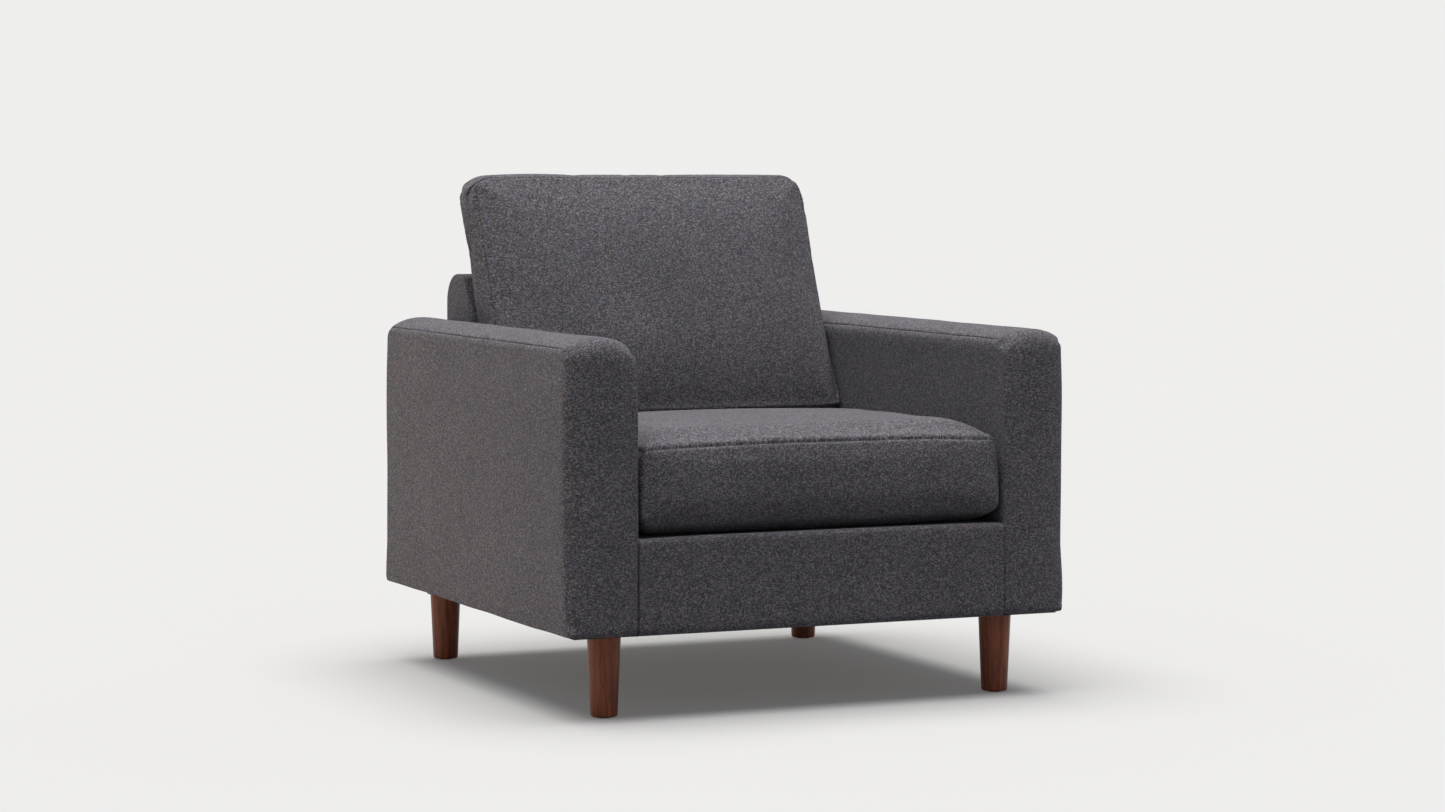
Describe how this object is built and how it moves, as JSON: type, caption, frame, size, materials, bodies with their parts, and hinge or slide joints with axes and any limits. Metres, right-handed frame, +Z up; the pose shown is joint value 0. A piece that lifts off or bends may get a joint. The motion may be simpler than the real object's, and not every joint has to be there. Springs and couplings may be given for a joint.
{
  "type": "upholstered armchair",
  "caption": "Square-armed upholstered armchair with a loose seat cushion and a loose leaning back cushion on round tapered wooden legs.",
  "frame": {"origin": "on the floor, under the middle of the chair", "axes": "+Z up, the chair faces -Y, +X on the right of someone who looks at its front"},
  "size_m": [0.864, 0.866, 0.836],
  "materials": {
    "upholstery_cloth": "matte",
    "leg_walnut": "satin",
    "frame_timber": "matte",
    "frame_board": "matte",
    "foam": "matte",
    "deck_felt": "matte",
    "elastic_webbing": "matte",
    "dust_cloth": "matte",
    "spring_steel": "satin",
    "zinc_hardware": "satin",
    "glide_nylon": "satin",
    "zip_nylon": "matte"
  },
  "bodies": {
    "chair": {"back_bottom_rail": "frame_timber", "back_frame_cover": "upholstery_cloth", "back_top_rail": "frame_timber", "back_webbing": "elastic_webbing", "base_front_rail": "frame_timber", "base_spring_rail": "frame_timber", "deck_pad": "deck_felt", "dust_cover": "dust_cloth", "front_rail_cover": "upholstery_cloth", "front_rail_padding": "foam", "front_spring_clips": "zinc_hardware", "left_arm_cover": "upholstery_cloth", "left_arm_front_post": "frame_timber", "left_arm_inner_panel": "frame_board", "left_arm_outer_panel": "frame_board", "left_arm_padding": "foam", "left_arm_rear_post": "frame_timber", "left_arm_top_rail": "frame_timber", "left_back_side": "frame_board", "left_front_corner_block": "frame_timber", "left_front_glide": "glide_nylon", "left_front_leg": "leg_walnut", "left_front_leg_bolt": "zinc_hardware", "left_front_leg_nut": "zinc_hardware", "left_rear_corner_block": "frame_timber", "left_rear_glide": "glide_nylon", "left_rear_leg": "leg_walnut", "left_rear_leg_bolt": "zinc_hardware", "left_rear_leg_nut": "zinc_hardware", "rear_spring_clips": "zinc_hardware", "right_arm_cover": "upholstery_cloth", "right_arm_front_post": "frame_timber", "right_arm_inner_panel": "frame_board", "right_arm_outer_panel": "frame_board", "right_arm_padding": "foam", "right_arm_rear_post": "frame_timber", "right_arm_top_rail": "frame_timber", "right_back_side": "frame_board", "right_front_corner_block": "frame_timber", "right_front_glide": "glide_nylon", "right_front_leg": "leg_walnut", "right_front_leg_bolt": "zinc_hardware", "right_front_leg_nut": "zinc_hardware", "right_rear_corner_block": "frame_timber", "right_rear_glide": "glide_nylon", "right_rear_leg": "leg_walnut", "right_rear_leg_bolt": "zinc_hardware", "right_rear_leg_nut": "zinc_hardware", "seat_spring_1": "spring_steel", "seat_spring_2": "spring_steel", "seat_spring_3": "spring_steel", "seat_spring_4": "spring_steel"},
    "seat_cushion": {"seat_cushion_cover": "upholstery_cloth", "seat_cushion_core": "foam", "seat_cushion_zip": "zip_nylon"},
    "back_cushion": {"back_cushion_cover": "upholstery_cloth", "back_cushion_core": "foam", "back_cushion_zip": "zip_nylon"},
    "seat_zip_slider": {"seat_cushion_zip_slider": "zinc_hardware"},
    "back_zip_slider": {"back_cushion_zip_slider": "zinc_hardware"}
  },
  "joints": [
    {"name": "seat_cushion_lift", "type": "slide", "parent": "chair", "child": "seat_cushion", "axis": [0, 0, 1], "range_m": [0, 0.35]},
    {"name": "back_cushion_lift", "type": "slide", "parent": "seat_cushion", "child": "back_cushion", "axis": [0, 0, 1], "range_m": [0, 0.3]},
    {"name": "seat_zip_slide", "type": "slide", "parent": "seat_cushion", "child": "seat_zip_slider", "axis": [-1, 0, 0], "range_m": [0, 0.506]},
    {"name": "back_zip_slide", "type": "slide", "parent": "back_cushion", "child": "back_zip_slider", "axis": [-1, 0, 0], "range_m": [0, 0.486]}
  ]
}
